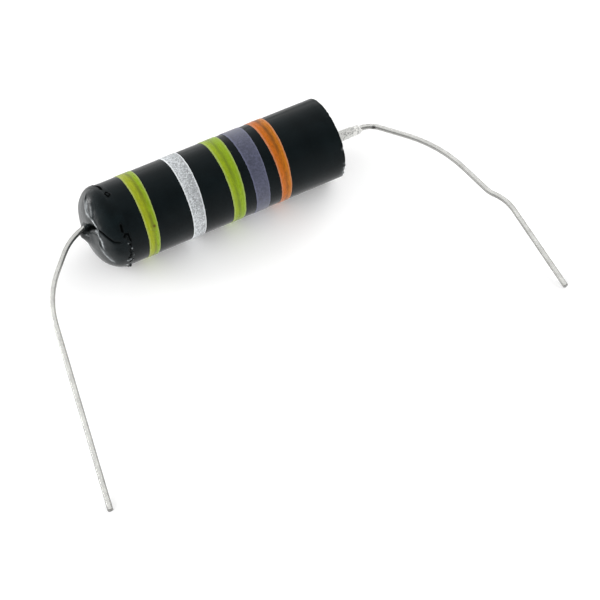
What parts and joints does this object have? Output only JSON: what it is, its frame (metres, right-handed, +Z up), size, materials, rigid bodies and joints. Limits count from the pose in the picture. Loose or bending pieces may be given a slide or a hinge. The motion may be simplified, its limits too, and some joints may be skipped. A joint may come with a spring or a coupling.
{
  "type": "paper capacitor",
  "caption": "Axial paper capacitor: a black tube with a domed resin end, a soldered eyelet end, painted code bands and bent tinned wires.",
  "frame": {"origin": "on the body's axis, halfway between the tip of the dome and the flat end", "axes": "+X along the body from the dome to the eyelet; +Z up, with the body and both wire tips on the table; the wires reach towards -Y"},
  "size_m": [0.0599, 0.037, 0.0101],
  "materials": {
    "black_case": "satin gloss moulded phenolic",
    "black_resin": "glossy cast resin",
    "black_disc": "satin pressed phenolic sheet",
    "card": "plain waxed card",
    "kraft_paper": "waxed kraft paper",
    "foil_roll": "foil edges in oiled paper",
    "solder": "dull tin-lead solder",
    "tinned_brass": "bright tinned",
    "tinned_copper": "bright drawn, tinned",
    "yellow_paint": "gloss enamel",
    "silver_paint": "fine metallic paint",
    "violet_paint": "flat enamel",
    "orange_paint": "gloss enamel"
  },
  "bodies": {
    "root": {"case_tube": "black_case", "dome_seal": "black_resin", "dam_washer": "card", "end_disc": "black_disc", "eyelet": "tinned_brass", "eyelet_solder": "solder", "winding": "foil_roll", "winding_wrap": "kraft_paper", "dome_solder_cap": "solder", "eyelet_solder_cap": "solder", "dome_wire": "tinned_copper", "eyelet_wire": "tinned_copper", "band_outer_yellow": "yellow_paint", "band_silver": "silver_paint", "band_inner_yellow": "yellow_paint", "band_violet": "violet_paint", "band_orange": "orange_paint"}
  },
  "joints": []
}
